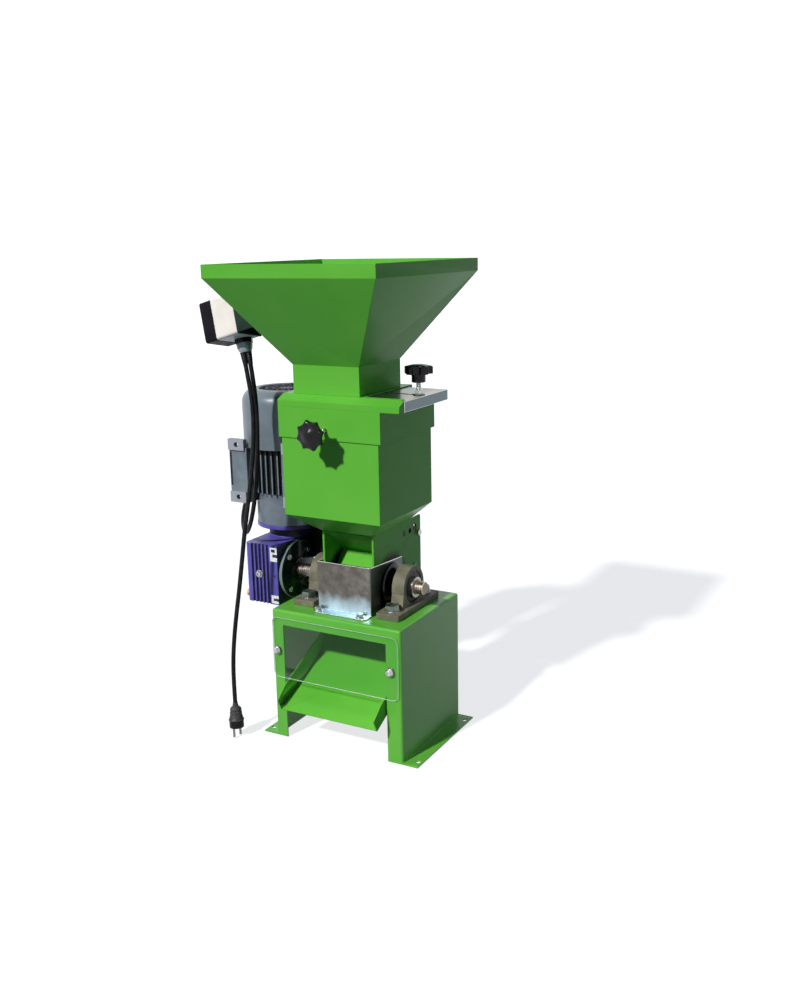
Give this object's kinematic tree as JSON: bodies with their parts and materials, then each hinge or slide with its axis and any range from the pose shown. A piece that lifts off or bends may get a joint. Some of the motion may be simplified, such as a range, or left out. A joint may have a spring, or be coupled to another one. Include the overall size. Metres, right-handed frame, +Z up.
{
  "type": "walnut cracking machine",
  "caption": "Bench nut cracking machine: hopper over a slide gate and feed box, grooved drum with adjustable jaw, worm gear motor at the side, outlet chute behind a clear shield.",
  "frame": {"origin": "on the floor at the centre of the four foot holes", "axes": "+X to the right (away from the motor), +Y to the back, +Z up; the chute faces -Y"},
  "size_m": [0.4836, 0.396, 0.904],
  "materials": {
    "green": "semi-gloss",
    "zinc": "satin",
    "steel": "ground",
    "cast_grey": "painted matt",
    "violet": "satin",
    "flange_dark": "semi-gloss",
    "motor_grey": "satin",
    "core": "matt",
    "black": "matt",
    "knob_black": "gloss",
    "cream": "satin",
    "red": "satin",
    "lime": "satin",
    "clear": "clear",
    "rubber": "matt",
    "brass": "plain"
  },
  "bodies": {
    "frame": {"base_frame": "green", "bearing_outer_rings": "steel", "block_bolts": "zinc", "block_nuts": "zinc", "cable_glands": "black", "chute_rod": "green", "discharge_chute": "green", "fan_cover": "motor_grey", "feed_box": "green", "front_shield": "clear", "gate_guide": "green", "gearbox_bracket": "green", "gearbox_cover": "violet", "gearbox_housing": "violet", "grease_nipples": "lime", "hopper": "green", "jaw_guard": "zinc", "jaw_pivot_pin": "steel", "left_block_housing": "cast_grey", "left_cheek": "green", "lid_sleeve": "green", "mains_cord": "rubber", "middle_nuts": "zinc", "middle_screws": "zinc", "motor_case": "motor_grey", "motor_cord": "rubber", "motor_end_shields": "motor_grey", "motor_stator": "core", "output_flange": "flange_dark", "plug_grip": "black", "plug_pins": "brass", "right_block_housing": "cast_grey", "right_cheek": "green", "shield_screws": "zinc", "small_nuts": "zinc", "small_screws": "zinc", "spout_plate": "green", "switch_body": "cream", "switch_bracket": "green", "switch_cover": "black", "terminal_box": "motor_grey", "washers": "zinc"},
    "drum_shaft": {"main_shaft": "steel", "drum_key": "steel", "cracking_drum": "steel", "bearing_inner_rings": "steel", "worm_wheel": "brass"},
    "ball_sets": {"bearing_balls": "steel"},
    "rotor": {"motor_rotor": "steel", "motor_fan": "black", "worm_shaft": "steel"},
    "gate": {"gate_plate": "zinc"},
    "gate_clamp": {"gate_knob": "knob_black", "gate_stud": "zinc"},
    "front_clamp": {"front_knob": "knob_black", "front_stud": "zinc"},
    "jaw": {"adjustable_jaw": "steel", "jaw_slot_pin": "steel"},
    "start": {"start_button": "lime"},
    "stop": {"stop_button": "red"}
  },
  "joints": [
    {"name": "shaft_spin", "type": "hinge", "parent": "frame", "child": "drum_shaft", "pos_m": [0, 0, 0.304], "axis": [1, 0, 0], "continuous": true},
    {"name": "ball_roll", "type": "hinge", "parent": "frame", "child": "ball_sets", "pos_m": [0, 0, 0.304], "axis": [1, 0, 0], "continuous": true},
    {"name": "rotor_spin", "type": "hinge", "parent": "frame", "child": "rotor", "pos_m": [-0.2025, 0.05, 0.5], "axis": [0, 0, 1], "continuous": true},
    {"name": "gate_slide", "type": "slide", "parent": "frame", "child": "gate", "axis": [1, 0, 0], "range_m": [0, 0.108]},
    {"name": "gate_knob_turn", "type": "hinge", "parent": "frame", "child": "gate_clamp", "pos_m": [0.134, -0.024, 0.7], "axis": [0, 0, 1], "range_deg": [0, 720]},
    {"name": "front_knob_turn", "type": "hinge", "parent": "frame", "child": "front_clamp", "pos_m": [0, -0.16, 0.614], "axis": [0, -1, 0], "range_deg": [0, 720]},
    {"name": "jaw_swing", "type": "hinge", "parent": "frame", "child": "jaw", "pos_m": [0, 0.055, 0.388], "axis": [1, 0, 0], "range_deg": [-5, 5]},
    {"name": "start_press", "type": "slide", "parent": "frame", "child": "start", "axis": [0.9588, 0.0493, 0.2797], "range_m": [0, 0.003], "stiffness_N_per_m": 300, "springref_m": -0.002},
    {"name": "stop_press", "type": "slide", "parent": "frame", "child": "stop", "axis": [0.9588, 0.0493, 0.2797], "range_m": [0, 0.003], "stiffness_N_per_m": 300, "springref_m": -0.002}
  ],
  "couplings": [
    {"joint": "ball_roll", "follows": "shaft_spin", "ratio": 0.4194},
    {"joint": "rotor_spin", "follows": "shaft_spin", "ratio": 20}
  ]
}
